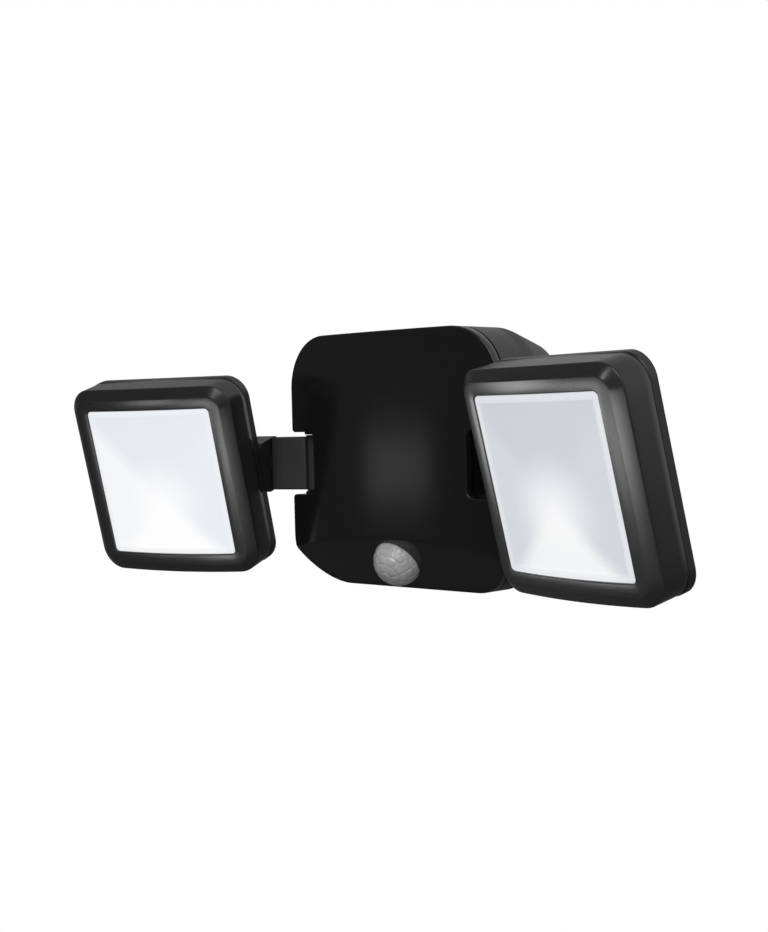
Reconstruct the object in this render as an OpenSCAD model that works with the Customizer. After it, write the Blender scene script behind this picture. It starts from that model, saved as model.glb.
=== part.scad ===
// Twin-head motion-sensing floodlight for a wall. Millimetres, +Z up, front faces -Y.
// Origin: centre of the wall plate, on the wall face.

/* [Node] */
// sub-part to show on its own

/* [Body] */
// width of the housing, side to side
body_w = 150; // [120:1:190]
// height of the housing
body_h = 138.2; // [110:1:175]
// corner radius of the housing outline
corner_r = 29; // [15:0.5:40]
// how far the front bulges at its centre line
body_crown = 5.9; // [2:0.1:10]
// depth of the front cover at its side edges
cover_d = 4; // [3:0.1:8]
// open shadow line between cover and middle frame
seam_gap = 1.2; // [0.6:0.1:2]
// depth from the cover edge plane to the rear seam
mid_d = 26; // [24:0.5:36]
// depth of the tapered rear housing
rear_d = 37; // [36:0.5:50]
// how far the rear housing draws in at the back
rear_inset = 8.3; // [3:0.1:9]
// slope of the lower front face from upright
slant_deg = 37.2; // [25:0.5:42]
// height of the sloping face at the side edges
slant_h = 20.6; // [14:0.5:26]
// wall thickness of the housing shells
wall_t = 2.5; // [2:0.1:3.2]

/* [Sensor] */
// radius of the sensor dome
dome_r = 13.5; // [11:0.1:14]
// distance of the dome centre above the bottom edge
dome_up = 15; // [13:0.1:18]
// running clearance round the dome
dome_gap = 0.15; // [0.1:0.05:0.4]

/* [Arm] */
// swing axis in from the side of the housing
pivot_in = 11.1; // [9:0.1:13]
// swing axis behind the cover edge plane
pivot_y = 10.4; // [9:0.1:12]
// height of the arm notch in the housing
notch_h = 34.9; // [32:0.1:40]
// depth of the arm notch, from the side
notch_d = 19.4; // [18:0.1:24]
// height of the notch centre from the housing centre
notch_z = -1.25; // [-6:0.05:6]
// height of the arm
arm_h = 29.8; // [26:0.1:32]
// thickness of the arm
arm_t = 11; // [10:0.1:12]
// outer radius of the arm barrel
barrel_r = 5.5; // [4.5:0.1:6]
// radius of the swing pin
pin_r = 2; // [1.5:0.1:2.5]
// radius of the tilt bolt
bolt_r = 3; // [2.5:0.1:3.2]
// radial running clearance of pin and bolt
run_gap = 0.05; // [0.03:0.01:0.08]
// swing of the left arm toward the front
swing_l = 15.3; // [0:0.1:45]
// swing of the right arm toward the front
swing_r = 12.1; // [0:0.1:45]

/* [Head] */
// width of a lamp head
head_w = 109.2; // [90:0.2:130]
// height of a lamp head
head_h = 110.4; // [90:0.2:130]
// corner radius of a lamp head
head_r = 13; // [8:0.5:16]
// how far the head front bulges at its centre line
head_crown = 3.2; // [2:0.1:8]
// width of the sloping bevel round the front
bevel_w = 5.5; // [4:0.1:7]
// depth of that bevel
bevel_d = 3.3; // [3:0.1:5]
// depth of the head side from lens edge to rear edge
head_d = 23; // [22:0.1:30]
// width of the visible rear shell strip
strip_d = 4.5; // [3:0.1:6]
// width of the lens window
lens_w = 84.2; // [70:0.2:100]
// height of the lens window
lens_h = 86.2; // [70:0.2:100]
// lens edge to tilt axis
head_set = 32.9; // [31:0.1:38]
// downward tilt of the left head
tilt_l = 16.1; // [-20:0.1:45]
// downward tilt of the right head
tilt_r = 14; // [-20:0.1:45]

/* [Mount] */
// screw slot spacing across the wall plate
slot_x = 80; // [60:1:90]
// screw slot spacing up the wall plate
slot_z = 60; // [40:1:76]
// width of the screw slots
slot_d = 5; // [4:0.1:6]

/* [Hidden] */
$fn = 96;
// contact-free gap between parts of different bodies
free_gap = 0.3;
// wall plate thickness
plate_t = 6;
pivot_x = body_w / 2 - pivot_in;
back_y = mid_d + rear_d;
wall_y = back_y + plate_t;
slant_k = tan(slant_deg);
slant_z = -body_h / 2 + slant_h;
crown_rad = (pow(body_w / 2, 2) + pow(body_crown, 2)) / (2 * body_crown);
hcrown_rad = (pow(head_w / 2, 2) + pow(head_crown, 2)) / (2 * head_crown);
wallk = wall_t * sqrt(1 + slant_k * slant_k);
// the tongue of the middle frame inside the cover
tongue_in = wall_t + 0.2;
tongue_t = 1.5;
gasket_t = 1;
// corner radius at the mouth of an arm notch
mouth_r = 2;
// radius of the lugs that carry the swing pins
lug_r = 8;
deck_y = mid_d - 6;
deck_t = 2.5;
// battery cells, size D
cell_r = 17.1;
cell_y = deck_y + deck_t + 2.9 + cell_r;
cell_z = cell_r + 0.3;
// end walls of the battery tray, inside faces
tray_x = 64.3;
// spring from its plate to the flat end of a cell
spring_l = tray_x - 0.4 - 61.3;
// arm
arm_in = 3.95;
arm_front = -pivot_y + 1.6;
arm_back = arm_front + arm_t;
tilt_y = arm_front + arm_t / 2;
arm_reach = head_w / 2 + 29.9;
// edge radius of the arm
arm_edge = 1.2;
// knuckle face, from the swing axis
knuckle_u = 28.3;
disc_t = 0.6;
arm_out = knuckle_u - free_gap - disc_t;
knuckle_h = arm_h - 0.8;
knuckle_w = arm_reach - knuckle_u;
lug_gap = 1.1;
washer_t = lug_gap - free_gap;
// head
seam_v = head_d - strip_d;
head_back = head_d + 4.2;
plastic_t = 2.5;

module rrect(w, h, r) {
  union() {
    square([w - 2 * r, h], center = true);
    square([w, h - 2 * r], center = true);
    for (i = [-1, 1], j = [-1, 1])
      translate([i * (w / 2 - r), j * (h / 2 - r)])
        circle(r);
  }
}

// rounded block between two depths
module slab(w, h, r, y0, y1) {
  translate([0, y1, 0])
    rotate([90, 0, 0])
      linear_extrude(y1 - y0)
        rrect(w, h, r);
}

// rounded block whose outline draws in with depth; p is [depth, inset] pairs
module tapered(w, h, r, p) {
  n = len(p) - 1;
  union() {
    translate([0, 0, -(h / 2 - r)])
      linear_extrude(h - 2 * r)
        polygon(concat([for (q = p) [w / 2 - q[1], q[0]]],
          [for (i = [n:-1:0]) [-(w / 2 - p[i][1]), p[i][0]]]));
    translate([-(w / 2 - r), 0, 0])
      rotate([90, 0, 90])
        linear_extrude(w - 2 * r)
          polygon(concat([for (q = p) [q[0], h / 2 - q[1]]],
            [for (i = [n:-1:0]) [p[i][0], -(h / 2 - p[i][1])]]));
    for (i = [-1, 1], j = [-1, 1])
      translate([i * (w / 2 - r), 0, j * (h / 2 - r)])
        rotate([-90, 0, 0])
          rotate_extrude()
            polygon(concat([[0, p[0][0]]], [for (q = p) [r - q[1], q[0]]], [[0, p[n][0]]]));
  }
}

// cylinder along the depth axis
module ycyl(r, y0, y1) {
  translate([0, y1, 0])
    rotate([90, 0, 0])
      cylinder(r = r, h = y1 - y0);
}

// cylinder along the width axis
module xcyl(r, x0, x1) {
  translate([min(x0, x1), 0, 0])
    rotate([0, 90, 0])
      cylinder(r = r, h = abs(x1 - x0));
}

// block from corner to corner
module box(x0, x1, y0, y1, z0, z1) {
  translate([min(x0, x1), y0, z0])
    cube([abs(x1 - x0), y1 - y0, z1 - z0]);
}

module place() {
  translate([0, -wall_y, 0])
    children();
}

module sensor_frame() {
  translate([0, slant_k * (slant_z + body_h / 2 - dome_up), -body_h / 2 + dome_up])
    rotate([90 + slant_deg, 0, 0])
      children();
}

// arm frame: origin on the swing axis, s = -1 left, 1 right
module arm_frame(s) {
  place()
    translate([s * pivot_x, pivot_y, notch_z])
      rotate([0, 0, s < 0 ? swing_l : -swing_r])
        children();
}

// head frame: origin at the centre of the lens edge plane
module head_frame(s) {
  arm_frame(s)
    translate([s * arm_reach, tilt_y, 0])
      rotate([s < 0 ? tilt_l : tilt_r, 0, 0])
        translate([0, -head_set, 0])
          children();
}

// side-view strip that follows the cover edge; a and b are depths behind it
module edge_strip(a, b) {
  translate([-body_w, 0, 0])
    rotate([90, 0, 90])
      linear_extrude(2 * body_w)
        polygon([[a, body_h], [a, slant_z], [a + slant_k * (slant_z + body_h), -body_h],
          [b + slant_k * (slant_z + body_h), -body_h], [b, slant_z], [b, body_h]]);
}

// side-view region behind the sloping plane moved inward by a
module behind_slope(a, b) {
  translate([-body_w, 0, 0])
    rotate([90, 0, 90])
      linear_extrude(2 * body_w)
        polygon([[a - 20, slant_z + 20 / slant_k], [a + slant_k * (slant_z + body_h), -body_h],
          [b + slant_k * (slant_z + body_h), -body_h], [b, slant_z], [b, body_h], [a - 20, body_h]]);
}

module body_ring(in0, in1, y0, y1) {
  difference() {
    slab(body_w - 2 * in0, body_h - 2 * in0, corner_r - in0, y0, y1);
    slab(body_w - 2 * in1, body_h - 2 * in1, corner_r - in1, y0 - 1, y1 + 1);
  }
}

cover_posts = [[-28, 0.416 * body_h], [28, 0.416 * body_h], [-36, -0.321 * body_h],
  [36, -0.321 * body_h]];
rear_x = body_w / 2 - 27;
rear_z = body_h / 2 - 20.5;
rear_posts = [[-rear_x, rear_z], [rear_x, rear_z], [-rear_x, -rear_z], [rear_x, -rear_z]];
board_posts = [[-38, 36], [38, 36], [-38, -12], [38, -12]];

// arm notches, with rounded corners inside and at the mouth
module notch_cut(y0, y1, in) {
  for (s = [-1, 1]) {
    translate([s * (body_w / 2 - notch_d / 2 + 10), 0, notch_z])
      slab(notch_d + 20 - 2 * in, notch_h - 2 * in, 4 - in, y0, y1);
    for (t = [-1, 1])
      translate([s * body_w / 2, 0, notch_z + t * (notch_h / 2 - in)])
        difference() {
          box(-s * mouth_r, s, y0, y1, min(0, t * mouth_r), max(0, t * mouth_r));
          translate([-s * mouth_r, 0, t * mouth_r])
            ycyl(mouth_r, y0 - 1, y1 + 1);
        }
  }
}

// room for the lens flange and its retainer behind the sloping face
module sensor_room() {
  sensor_frame()
    translate([0, 0, -wall_t - 3.5])
      cylinder(r = dome_r + 0.8, h = 3.5);
}

// solid bounded by the cover's faces moved inward by a, to depth b behind its edge
module cover_solid(a, b) {
  intersection() {
    slab(body_w - 2 * a, body_h - 2 * a, corner_r - a, -12, 60);
    translate([0, crown_rad - body_crown, -body_h])
      cylinder(r = crown_rad - a, h = 2 * body_h, $fn = 200);
    behind_slope(a * wallk / wall_t, b);
  }
}

module front_cover() {
  color([0.12, 0.12, 0.13])
    place()
      difference() {
        union() {
          difference() {
            cover_solid(0, cover_d);
            cover_solid(wall_t, 60);
          }
          intersection() {
            cover_solid(1, 60);
            for (p = cover_posts)
              translate([p[0], 0, p[1]])
                ycyl(3.5, -8, 15.5);
          }
        }
        intersection() {
          body_ring(wall_t, tongue_in + tongue_t + 0.2, -5, 40);
          edge_strip(cover_d - 1.5 - gasket_t, 60);
        }
        notch_cut(-20, 40, 0);
        for (p = cover_posts)
          translate([p[0], 0, p[1]])
            ycyl(1.45, 6, 16);
        sensor_frame()
          translate([0, 0, -8])
            cylinder(r = dome_r + dome_gap, h = 12);
      }
}

module cover_gasket() {
  color([0.25, 0.25, 0.26])
    place()
      difference() {
        intersection() {
          body_ring(wall_t, tongue_in + tongue_t, -5, 40);
          edge_strip(cover_d - 1.5 - gasket_t, cover_d - 1.5);
        }
        notch_cut(-20, 40, -2);
        sensor_room();
      }
}

module mid_frame() {
  color([0.16, 0.16, 0.17])
    place()
      difference() {
        union() {
          intersection() {
            body_ring(0, tongue_in + tongue_t, 0, mid_d);
            edge_strip(cover_d + seam_gap, 90);
          }
          intersection() {
            body_ring(tongue_in, tongue_in + tongue_t, 0, mid_d);
            edge_strip(cover_d - 1.5, 90);
          }
          slab(body_w - 6, body_h - 6, corner_r - 3, deck_y, deck_y + deck_t);
          for (s = [-1, 1])
            box(s * (body_w / 2 - notch_d - 2), s * (body_w / 2 - 3), cover_d, deck_y,
              notch_z - notch_h / 2 - 2, notch_z + notch_h / 2 + 2);
          for (s = [-1, 1], t = [-1, 1])
            translate([s * pivot_x, pivot_y, notch_z + t * (notch_h / 2 + 3)])
              cylinder(r = lug_r, h = 6, center = true);
          for (p = rear_posts)
            translate([p[0], 0, p[1]])
              ycyl(4, 14, mid_d);
          for (p = board_posts)
            translate([p[0], 0, p[1]])
              ycyl(3, 11.6, deck_y + 0.5);
          for (p = cover_posts)
            translate([p[0], 0, p[1]])
              ycyl(3.5, 15.5, deck_y + 0.5);
        }
        difference() {
          notch_cut(-20, deck_y - 2.1, 0);
          for (s = [-1, 1], t = [-1, 1])
            translate([s * pivot_x, pivot_y, notch_z + t * (arm_h / 2 + lug_gap + 5)])
              cylinder(r = lug_r, h = 10, center = true);
        }
        for (s = [-1, 1])
          translate([s * pivot_x, pivot_y, notch_z])
            cylinder(r = pin_r, h = notch_h + 10, center = true);
        for (p = rear_posts)
          translate([p[0], 0, p[1]])
            ycyl(1.45, 15, mid_d + 1);
        for (p = board_posts)
          translate([p[0], 0, p[1]])
            ycyl(1.2, 10, deck_y - 1);
        for (p = cover_posts)
          translate([p[0], 0, p[1]])
            ycyl(1.7, 15, mid_d);
        sensor_room();
      }
}

module rear_gasket() {
  color([0.25, 0.25, 0.26])
    place()
      body_ring(wall_t + 0.2, wall_t + 1.6, mid_d, mid_d + 1);
}

// depth where the taper begins
tap0 = mid_d + 7;
module rear_housing() {
  color([0.18, 0.18, 0.19])
    place()
      difference() {
        union() {
          difference() {
            tapered(body_w, body_h, corner_r, [[mid_d, 0.5], [mid_d + 0.6, 0], [tap0, 0],
              [tap0 + 4, 0.9], [back_y - 4, rear_inset - 1.2], [back_y, rear_inset + 2.2]]);
            tapered(body_w, body_h, corner_r, [[mid_d - 1, wall_t], [tap0, wall_t],
              [tap0 + 4, wall_t + 0.9], [back_y - wall_t, wall_t + rear_inset]]);
          }
          for (p = rear_posts)
            translate([p[0], 0, p[1]])
              ycyl(4.6, mid_d, back_y - 1);
        }
        for (p = rear_posts)
          translate([p[0], 0, p[1]]) {
            ycyl(3.3, mid_d + 8, back_y + 1);
            ycyl(1.7, mid_d - 1, back_y);
          }
        for (t = [-1, 1])
          translate([0, 0, t * 46])
            ycyl(2.2, back_y - 5, back_y + 1);
      }
}

module wall_plate() {
  color([0.2, 0.2, 0.21])
    place()
      difference() {
        slab(112, 104, 8, back_y, wall_y);
        for (i = [-1, 1], j = [-1, 1])
          translate([i * slot_x / 2, 0, j * slot_z / 2]) {
            for (k = [-1, 1])
              translate([k * 3.5, 0, 0])
                ycyl(slot_d / 2, back_y - 1, wall_y + 1);
            box(-3.5, 3.5, back_y - 1, wall_y + 1, -slot_d / 2, slot_d / 2);
            for (k = [-1, 1])
              translate([k * 3.5, 0, 0])
                ycyl(slot_d / 2 + 2.4, back_y - 1, back_y + 3);
            box(-3.5, 3.5, back_y - 1, back_y + 3, -slot_d / 2 - 2.4, slot_d / 2 + 2.4);
          }
        for (t = [-1, 1])
          translate([0, 0, t * 46])
            ycyl(1.9, back_y - 1, wall_y - 1);
        slab(56, 40, 6, wall_y - 3, wall_y + 1);
      }
}

module screw(r, head_r0, l, head_l) {
  difference() {
    union() {
      ycyl(r, -l, 0.2);
      ycyl(head_r0, 0, head_l);
    }
    box(-head_r0 * 0.6, head_r0 * 0.6, head_l - 0.8, head_l + 1, -0.4, 0.4);
    box(-0.4, 0.4, head_l - 0.8, head_l + 1, -head_r0 * 0.6, head_r0 * 0.6);
  }
}

module plate_screws() {
  color([0.75, 0.75, 0.77])
    place()
      for (t = [-1, 1])
        translate([0, back_y - wall_t, t * 46])
          rotate([180, 0, 0])
            screw(1.9, 3.6, wall_t + 4, 2);
}

module cover_screws() {
  color([0.75, 0.75, 0.77])
    place()
      for (p = cover_posts)
        translate([p[0], deck_y + deck_t, p[1]])
          screw(1.45, 2.8, 14, 1.8);
}

module rear_screws() {
  color([0.75, 0.75, 0.77])
    place()
      for (p = rear_posts)
        translate([p[0], mid_d + 8, p[1]])
          screw(1.45, 2.9, 17, 2);
}

module board_screws() {
  color([0.75, 0.75, 0.77])
    place()
      for (p = board_posts)
        translate([p[0], 10, p[1]])
          rotate([180, 0, 0])
            screw(1.2, 2.4, 7, 1.4);
}

module hinge_pins() {
  color([0.72, 0.72, 0.74])
    place()
      for (s = [-1, 1])
        translate([s * pivot_x, pivot_y, notch_z])
          cylinder(r = pin_r, h = notch_h + 10, center = true);
}

module pir_lens() {
  color([0.8, 0.8, 0.8])
    place()
      sensor_frame()
        difference() {
          union() {
            intersection() {
              translate([0, 0, -1.2])
                sphere(r = dome_r);
              cylinder(r = dome_r + 1, h = 30);
            }
            translate([0, 0, -3.4])
              cylinder(r = sqrt(dome_r * dome_r - 1.44), h = 3.41);
            translate([0, 0, -wall_t - 1.2])
              cylinder(r = dome_r + 0.7, h = 1.2);
          }
          intersection() {
            translate([0, 0, -1.2])
              sphere(r = dome_r - 1);
            translate([0, 0, -1.2])
              cylinder(r = dome_r, h = 30);
          }
          translate([0, 0, -6])
            cylinder(r = dome_r - 1, h = 4.85);
        }
}

module pir_retainer() {
  color([0.3, 0.3, 0.32])
    place()
      sensor_frame()
        difference() {
          union() {
            translate([0, 0, -wall_t - 3.4])
              cylinder(r = dome_r + 0.7, h = 2.2);
            for (i = [-1, 1])
              translate([i * 12, 0, -10])
                cylinder(r = 1.6, h = 6);
          }
          translate([0, 0, -9.9])
            cylinder(r = dome_r - 3, h = 12);
        }
}

module pir_board() {
  color([0.1, 0.35, 0.18])
    place()
      sensor_frame()
        translate([-14, -6.5, -11.2])
          cube([28, 13, 1.2]);
}

module pir_sensor() {
  color([0.7, 0.7, 0.68])
    place()
      sensor_frame() {
        difference() {
          translate([0, 0, -10])
            cylinder(r = 4.6, h = 4.2);
          translate([-2.5, -1.6, -6.2])
            cube([5, 3.2, 1]);
        }
        translate([-2.4, -1.5, -6.2])
          cube([4.8, 3, 0.3]);
      }
}

module control_board() {
  color([0.1, 0.35, 0.18])
    place()
      difference() {
        translate([0, 0, 12])
          slab(88, 60, 3, 10, 11.6);
        for (p = board_posts)
          translate([p[0], 0, p[1]])
            ycyl(1.5, 9, 13);
      }
}

module board_chips() {
  color([0.08, 0.08, 0.09])
    place() {
      box(-9, 9, 8.2, 10, 12, 30);
      box(-30, -18, 8.4, 10, -6, 4);
      box(16, 24, 8.6, 10, -4, 4);
      box(18, 27, 8, 10, 22, 28);
      box(-5, 5, 8.6, 10, -12, -6);
      for (i = [0:7])
        box(-33 + 3.4 * i, -31.4 + 3.4 * i, 9.2, 10, 7.4, 8.2);
      for (i = [0:9])
        box(-12 + 3 * i, -11 + 3 * i, 9.3, 10, 33, 34.8);
    }
}

module board_capacitors() {
  color([0.15, 0.2, 0.4])
    place() {
      for (p = [[-26, 18], [-26, 29]])
        translate([p[0], 0, p[1]])
          ycyl(4, 1.6, 10);
      translate([33, 0, 14])
        ycyl(5, 2.4, 10);
    }
}

module board_connectors() {
  color([0.9, 0.9, 0.86])
    place() {
      for (s = [-1, 1])
        box(s * 34, s * 42, 5, 10, -4, 8);
      box(-8, 8, 5.4, 10, -17.4, -13);
      box(-3, 9, 5, 10, 36, 41);
    }
}

module battery_tray() {
  color([0.22, 0.22, 0.24])
    place()
      difference() {
        box(-tray_x - 1.8, tray_x + 1.8, deck_y + deck_t, cell_y + 4, -2 * cell_r - 2.4,
          2 * cell_r + 2.4);
        box(-tray_x, tray_x, deck_y + deck_t + 6, cell_y + 5, -2 * cell_r - 0.6, 2 * cell_r + 0.6);
        for (j = [-1, 1], k = [-1, 1])
          box(k > 0 ? 18 : -tray_x, k > 0 ? tray_x : -18, deck_y + deck_t + 1.6, cell_y,
            j * cell_z - cell_r + 8, j * cell_z + cell_r - 8);
        for (j = [-1, 1])
          translate([0, cell_y, j * cell_z])
            xcyl(cell_r + 0.2, -tray_x, tray_x);
      }
}

// one cell, d is the direction of its raised end
module cell(x, z, d) {
  color([0.75, 0.6, 0.25])
    place()
      translate([x, cell_y, z]) {
        xcyl(cell_r, -d * 29.75, d * 29.75);
        xcyl(4.75, d * 29.7, d * 31.25);
      }
}

module cell_upper_left() {
  cell(-31.55, cell_z, 1);
}

module cell_upper_right() {
  cell(29.5, cell_z, 1);
}

module cell_lower_left() {
  cell(-29.5, -cell_z, -1);
}

module cell_lower_right() {
  cell(31.55, -cell_z, -1);
}

module battery_springs() {
  color([0.8, 0.8, 0.8])
    place()
      for (d = [-1, 1])
        translate([d * (tray_x - 0.4), cell_y, -d * cell_z]) {
          box(0, d * 0.4, -8, 3.8, -8, 8);
          rotate([0, -d * 90, 0])
            rotate_extrude()
              polygon([[6.6, -0.1], [7.5, -0.1], [4.9, spring_l], [4, spring_l]]);
        }
}

module battery_contacts() {
  color([0.8, 0.8, 0.8])
    place()
      for (d = [-1, 1])
        translate([d * (tray_x - 0.4), cell_y, d * cell_z]) {
          box(0, d * 0.4, -8, 3.8, -8, 8);
          xcyl(4, -d * 3.1, 0.01);
        }
}

// ---- arms ----
// plan view of the arm plate, its front curving back toward the head
module arm_outline(s) {
  difference() {
    union() {
      translate([s * (arm_in + arm_out) / 2, (arm_front + arm_back) / 2])
        rrect(arm_out - arm_in, arm_t, arm_edge);
      translate([s > 0 ? arm_out - 3 : -arm_out, arm_front + 2.6])
        square([3, arm_t - 2.6]);
      translate([s > 0 ? 0 : -arm_in - 4, -barrel_r])
        square([arm_in + 4, barrel_r + arm_back]);
    }
    difference() {
      translate([s > 0 ? 19 : -arm_out - 1, arm_front - 1])
        square([arm_out - 18, 5]);
      translate([s * 19, arm_front + 14.9])
        circle(14.9);
    }
  }
}

module arm(s) {
  color([0.14, 0.14, 0.15])
    arm_frame(s)
      difference() {
        union() {
          cylinder(r = barrel_r, h = arm_h, center = true);
          intersection() {
            translate([0, 0, -arm_h / 2])
              linear_extrude(arm_h)
                arm_outline(s);
            translate([0, (arm_front + arm_back) / 2, 0])
              rotate([90, 0, 90])
                linear_extrude(3 * arm_out, center = true)
                  rrect(arm_t, arm_h, arm_edge);
          }
        }
        cylinder(r = pin_r + run_gap, h = arm_h + 2, center = true);
        translate([0, tilt_y, 0])
          xcyl(bolt_r, s * 15, s * (arm_out + 1));
        box(s * 13, s * 18.2, tilt_y - 4.6, arm_back + 1, -5, 5);
        box(s * 7, s * 26, arm_back - 1, arm_back + 1, -11, 11);
        box(s * 7, s * 26, arm_back - 3.4, arm_back, 7.4, 10.6);
        for (t = [-1, 1])
          translate([s * 9.5, 0, -t * 8.5 - 0.5])
            ycyl(0.9, arm_back - 5, arm_back);
      }
}

module arm_cover(s) {
  color([0.18, 0.18, 0.19])
    arm_frame(s)
      difference() {
        box(s * 7.1, s * 25.9, arm_back - 1, arm_back, -10.9, 10.9);
        for (t = [-1, 1])
          translate([s * 9.5, 0, -t * 8.5 - 0.5])
            ycyl(1.1, arm_back - 5, arm_back + 1);
      }
}

module arm_screws(s) {
  color([0.75, 0.75, 0.77])
    arm_frame(s)
      for (t = [-1, 1])
        translate([s * 9.5, arm_back, -t * 8.5 - 0.5])
          screw(0.9, 1.7, 4.5, 0.9);
}

module hinge_washers(s) {
  color([0.1, 0.1, 0.11])
    arm_frame(s)
      for (t = [-1, 1])
        translate([0, 0, t * (arm_h + washer_t) / 2])
          difference() {
            cylinder(r = lug_r - 0.8, h = washer_t, center = true);
            cylinder(r = pin_r + run_gap, h = 3, center = true);
          }
}

module tilt_bolt(s) {
  color([0.72, 0.72, 0.74])
    arm_frame(s)
      translate([0, tilt_y, 0]) {
        xcyl(bolt_r, s * 17.8, s * (arm_reach - 40.5));
        translate([s > 0 ? 14.4 : -18.2, 0, 0])
          rotate([0, 90, 0])
            cylinder(r = 4.8, h = 3.8, $fn = 6);
      }
}

module tilt_disc(s) {
  color([0.55, 0.55, 0.57])
    arm_frame(s)
      translate([0, tilt_y, 0])
        difference() {
          xcyl(5.2, s * arm_out, s * (arm_out + disc_t));
          xcyl(bolt_r, s * (arm_out - 1), s * (arm_out + 2));
        }
}

module tilt_nut(s) {
  color([0.72, 0.72, 0.74])
    arm_frame(s)
      translate([0, tilt_y, 0])
        difference() {
          union() {
            translate([s > 0 ? arm_reach - 45 : 41 - arm_reach, 0, 0])
              rotate([0, 90, 0])
                cylinder(r = 4.9, h = 4, $fn = 6);
            xcyl(5, s * (arm_reach - 45), s * (arm_reach - 45.7));
          }
          xcyl(bolt_r, s * (arm_reach - 48), s * (arm_reach - 38));
        }
}

// ---- heads ----
// crowned solid whose front lies d behind the head front
module crowned(d) {
  translate([0, hcrown_rad - head_crown, -head_h])
    cylinder(r = hcrown_rad - d, h = 2 * head_h, $fn = 200);
}

bevel_sag = head_crown * cos(atan(bevel_d / bevel_w));
bevel_rad = (pow(head_w / 2, 2) + pow(bevel_sag, 2)) / (2 * bevel_sag);
side_drop = bevel_d + head_crown * (1 - pow(1 - 2 * bevel_w / head_w, 2));
cone_tip = (head_r - bevel_w) * bevel_d / bevel_w;
corner_u = head_w / 2 - head_r;
corner_v = -head_crown * (1 - pow(2 * corner_u / head_w, 2));
corner_tilt = atan(head_crown * 4 * (corner_u + 3.5) * 2 / (head_w * head_w));

// solid behind the lower (t = -1) or upper (t = 1) crowned bevel
module crowned_bevel(t) {
  translate([0, -head_crown, t * (head_h / 2 - bevel_w)])
    rotate([-t * atan(bevel_d / bevel_w), 0, 0])
      translate([0, bevel_rad, 0])
        cylinder(r = bevel_rad, h = 700, center = true, $fn = 200);
}

module bezel_block() {
  difference() {
    intersection() {
      slab(head_w, head_h, head_r, -12, seam_v);
      crowned(0);
      translate([0, 0, -head_h])
        linear_extrude(2 * head_h)
          polygon([[head_w / 2, 40], [head_w / 2, bevel_d],
            [head_w / 2 - 3 * bevel_w, bevel_d - 3 * side_drop],
            [-head_w / 2 + 3 * bevel_w, bevel_d - 3 * side_drop],
            [-head_w / 2, bevel_d], [-head_w / 2, 40]]);
      crowned_bevel(-1);
      crowned_bevel(1);
    }
    for (i = [-1, 1], j = [-1, 1])
      translate([i * corner_u, corner_v, j * (head_h / 2 - head_r)])
        difference() {
          box(0, i * 20, -20, 12, j > 0 ? 0 : -20, j > 0 ? 20 : 0);
          rotate([0, 0, i * corner_tilt])
            translate([0, -cone_tip, 0])
              rotate([-90, 0, 0])
                cylinder(r1 = 0, r2 = 36 * bevel_w / bevel_d, h = 36);
        }
  }
}

module bezel(s) {
  color([0.13, 0.13, 0.14])
    head_frame(s)
      difference() {
        bezel_block();
        intersection() {
          slab(head_w - 6.4, head_h - 6.4, head_r - 3.2, -12, 40);
          crowned(3);
          slab(head_w, head_h, 2, -4 + bevel_d, 40);
        }
        intersection() {
          slab(lens_w + 6, lens_h + 6, 4, -12, 40);
          crowned(3);
        }
        slab(lens_w, lens_h, 2.5, -20, 10);
        slab(head_w - 2 * plastic_t, head_h - 2 * plastic_t, head_r - plastic_t, 8, 40);
        for (i = [-1, 1], j = [-1, 1])
          translate([i * (head_w / 2 - 9), 0, j * (head_h / 2 - 9)])
            ycyl(1.3, 5, 12);
      }
}

module lens_gasket(s) {
  color([0.85, 0.85, 0.85])
    head_frame(s)
      difference() {
        intersection() {
          slab(lens_w + 5, lens_h + 5, 4, -12, 8);
          crowned(3);
        }
        crowned(3.6);
        slab(lens_w + 0.8, lens_h + 0.8, 2.6, -20, 20);
      }
}

module diffuser(s) {
  color([0.95, 0.95, 0.96])
    head_frame(s)
      difference() {
        union() {
          intersection() {
            slab(lens_w - 0.3, lens_h - 0.3, 2.4, -12, 8);
            crowned(0.7);
          }
          intersection() {
            slab(lens_w + 5, lens_h + 5, 4, -12, 8);
            crowned(3.6);
          }
        }
        crowned(4.8);
        intersection() {
          slab(lens_w - 8, lens_h - 8, 2.4, -12, 8);
          crowned(3);
        }
      }
}

refl_v = 6;
refl_d = 11;
refl_in = 40;
// square funnel: a wide, b narrow, half-widths
module funnel(a, b, v0, v1) {
  intersection() {
    translate([0, 0, -a - 1])
      linear_extrude(2 * a + 2)
        polygon([[-a, v0], [a, v0], [b, v1], [-b, v1]]);
    translate([-a - 1, 0, 0])
      rotate([90, 0, 90])
        linear_extrude(2 * a + 2)
          polygon([[v0, -a], [v0, a], [v1, b], [v1, -b]]);
  }
}

module reflector(s) {
  color([0.96, 0.96, 0.97])
    head_frame(s)
      difference() {
        union() {
          funnel(lens_w / 2, refl_in / 2 + 1.5, refl_v, refl_v + refl_d);
          box(-lens_w / 2 - 1, lens_w / 2 + 1, refl_v, refl_v + 1.2, -lens_w / 2 - 1, lens_w / 2 + 1);
        }
        funnel(lens_w / 2 - 1.5, refl_in / 2, refl_v - 0.01, refl_v + refl_d + 0.01);
      }
}

module led_board(s) {
  color([0.9, 0.9, 0.9])
    head_frame(s)
      slab(refl_in + 6, refl_in + 6, 1, refl_v + refl_d, refl_v + refl_d + 1.2);
}

module leds(s) {
  color([0.95, 0.85, 0.4])
    head_frame(s)
      for (i = [-1.5:1:1.5], j = [-1.5:1:1.5])
        translate([i * 9, 0, j * 9])
          box(-1.8, 1.8, refl_v + refl_d - 0.8, refl_v + refl_d, -1.8, 1.8);
}

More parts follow.
